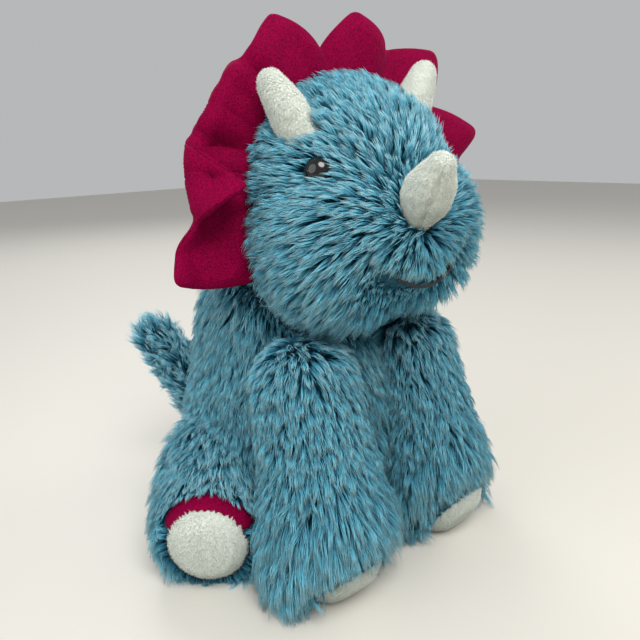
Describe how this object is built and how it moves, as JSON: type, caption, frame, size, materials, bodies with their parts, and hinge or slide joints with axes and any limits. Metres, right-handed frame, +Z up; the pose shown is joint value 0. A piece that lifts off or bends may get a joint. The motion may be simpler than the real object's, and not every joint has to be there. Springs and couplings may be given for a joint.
{
  "type": "stuffed dinosaur",
  "caption": "Sitting plush horned dinosaur with shaggy pile fabric, a padded velvet neck frill, soft horns and flexing neck, legs and tail.",
  "frame": {"origin": "middle of the flat seat, on the surface the toy sits on", "axes": "+Z up, the face looks towards -Y, the toy's left side is +X"},
  "size_m": [0.2278, 0.2297, 0.2985],
  "materials": {
    "long_pile_blue": "long shaggy polyester pile with clumped locks, dark roots and paler tips",
    "short_pile_blue": "the same blue plush, sheared short",
    "velvet_magenta": "velvet with a soft sheen",
    "glitter_cream": "short pale plush with fine glitter",
    "fibre_fill": "matt white polyester fibre",
    "bag_cloth": "matt plain woven cloth",
    "pellet_plastic": "matt plastic beads",
    "eye_plastic": "polished black",
    "washer_plastic": "matt",
    "thread_black": "twisted embroidery thread"
  },
  "bodies": {
    "torso": {"torso_back_left": "long_pile_blue", "torso_back_right": "long_pile_blue", "torso_belly": "long_pile_blue", "torso_seat": "long_pile_blue", "torso_stuffing": "fibre_fill", "pellet_bag": "bag_cloth", "pellets": "pellet_plastic"},
    "neck": {"neck_stuffing": "fibre_fill"},
    "head": {"head_side_left": "long_pile_blue", "head_side_right": "long_pile_blue", "head_gusset": "long_pile_blue", "head_jaw": "long_pile_blue", "head_stuffing": "fibre_fill", "frill_front": "velvet_magenta", "frill_rear": "velvet_magenta", "frill_padding": "fibre_fill", "brow_horn_left": "glitter_cream", "brow_horn_right": "glitter_cream", "nose_horn": "glitter_cream", "brow_horn_left_stuffing": "fibre_fill", "brow_horn_right_stuffing": "fibre_fill", "nose_horn_stuffing": "fibre_fill", "eye_left": "eye_plastic", "eye_right": "eye_plastic", "eye_washer_left": "washer_plastic", "eye_washer_right": "washer_plastic", "mouth_stitching": "thread_black"},
    "front_leg_left": {"front_left_outer_panel": "long_pile_blue", "front_left_inner_panel": "long_pile_blue", "front_left_toe_band": "short_pile_blue", "front_left_sole": "glitter_cream", "front_left_stuffing": "fibre_fill"},
    "front_leg_right": {"front_right_outer_panel": "long_pile_blue", "front_right_inner_panel": "long_pile_blue", "front_right_toe_band": "short_pile_blue", "front_right_sole": "glitter_cream", "front_right_stuffing": "fibre_fill"},
    "hind_leg_left": {"hind_left_outer_panel": "long_pile_blue", "hind_left_inner_panel": "long_pile_blue", "hind_left_toe_band": "velvet_magenta", "hind_left_sole": "glitter_cream", "hind_left_stuffing": "fibre_fill"},
    "hind_leg_right": {"hind_right_outer_panel": "long_pile_blue", "hind_right_inner_panel": "long_pile_blue", "hind_right_toe_band": "velvet_magenta", "hind_right_sole": "glitter_cream", "hind_right_stuffing": "fibre_fill"},
    "tail": {"tail_left_panel": "long_pile_blue", "tail_right_panel": "long_pile_blue", "tail_stuffing": "fibre_fill"}
  },
  "joints": [
    {"name": "neck_turn", "type": "hinge", "parent": "torso", "child": "neck", "pos_m": [0, -0.052, 0.2], "axis": [0, 0, 1], "range_deg": [-25, 25], "stiffness_Nm_per_rad": 0.6},
    {"name": "head_nod", "type": "hinge", "parent": "neck", "child": "head", "pos_m": [0, -0.052, 0.2], "axis": [0.9877, -0.1564, 0], "range_deg": [-10, 18], "stiffness_Nm_per_rad": 1},
    {"name": "shoulder_left", "type": "hinge", "parent": "torso", "child": "front_leg_left", "pos_m": [0.042, -0.0591, 0.108], "axis": [-1, 0, 0], "range_deg": [-4, 40], "stiffness_Nm_per_rad": 0.8},
    {"name": "shoulder_right", "type": "hinge", "parent": "torso", "child": "front_leg_right", "pos_m": [-0.042, -0.0591, 0.108], "axis": [-1, 0, 0], "range_deg": [-4, 40], "stiffness_Nm_per_rad": 0.8},
    {"name": "hip_left", "type": "hinge", "parent": "torso", "child": "hind_leg_left", "pos_m": [0.05392, 0.004, 0.042], "axis": [-1, 0, 0], "range_deg": [0, 20], "stiffness_Nm_per_rad": 0.8},
    {"name": "hip_right", "type": "hinge", "parent": "torso", "child": "hind_leg_right", "pos_m": [-0.05392, 0.004, 0.042], "axis": [-1, 0, 0], "range_deg": [0, 20], "stiffness_Nm_per_rad": 0.8},
    {"name": "tail_wag", "type": "hinge", "parent": "torso", "child": "tail", "pos_m": [-0.02213, 0.06811, 0.056], "axis": [0, 0, 1], "range_deg": [-15, 15], "stiffness_Nm_per_rad": 0.15}
  ]
}
